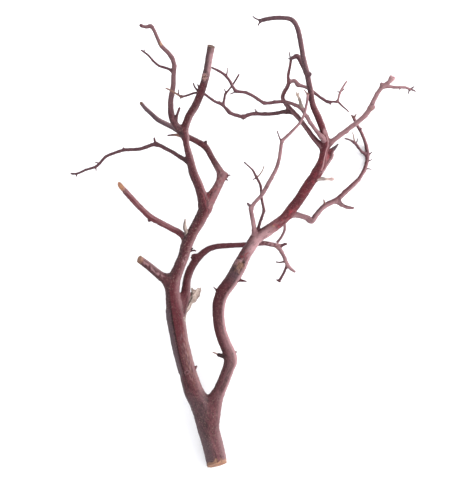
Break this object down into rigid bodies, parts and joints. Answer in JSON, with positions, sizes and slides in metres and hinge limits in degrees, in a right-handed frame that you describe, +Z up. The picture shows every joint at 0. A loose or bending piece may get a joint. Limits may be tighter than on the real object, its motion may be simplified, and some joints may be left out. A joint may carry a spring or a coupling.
{
  "type": "fallen tree branch",
  "caption": "Bare, crooked, much forked branch of red-barked wood with a sawn butt, cut stubs and broken twigs, lying on its side on the ground.",
  "frame": {"origin": "the middle of the branch's box, on the level surface that the branch lies on", "axes": "+Y runs from the sawn butt towards the twigs, +Z is up from the surface, and +X completes the frame, towards the arching limb"},
  "size_m": [0.5446, 0.721, 0.2148],
  "materials": {
    "bark": "satin",
    "twig_bark": "satin",
    "dead_wood": "matt"
  },
  "bodies": {
    "root": {"butt": "bark", "left_leader": "bark", "left_upper_leader": "bark", "tall_cut_limb": "bark", "right_leader_lower": "bark", "right_leader_upper": "bark", "lower_left_stub": "bark", "left_cut_limb": "bark", "pointed_dead_twig": "dead_wood", "dead_slab_stub": "dead_wood", "elbow_limb": "bark", "long_left_twig": "twig_bark", "tan_thorn_twig": "twig_bark", "crooked_top_limb": "bark", "crook_side_twig": "twig_bark", "fork_twiglet": "twig_bark", "under_limb": "bark", "under_limb_fork": "twig_bark", "under_t_twig": "twig_bark", "long_front_twig": "twig_bark", "fan_twig": "twig_bark", "hanging_twig": "twig_bark", "arching_right_limb": "bark", "arch_side_twig": "twig_bark", "arch_fan_twig": "twig_bark", "pale_stub": "dead_wood", "broken_prong": "bark", "tall_hooked_limb": "bark", "dark_hooked_twig": "twig_bark", "crown_left_limb": "bark", "crown_loop_twig": "twig_bark", "low_crossing_limb": "twig_bark", "crossing_side_twig": "twig_bark", "crown_front_limb": "twig_bark", "crown_dead_twig": "dead_wood", "crown_right_limb": "bark", "crown_right_tip_twig": "twig_bark"}
  },
  "joints": []
}
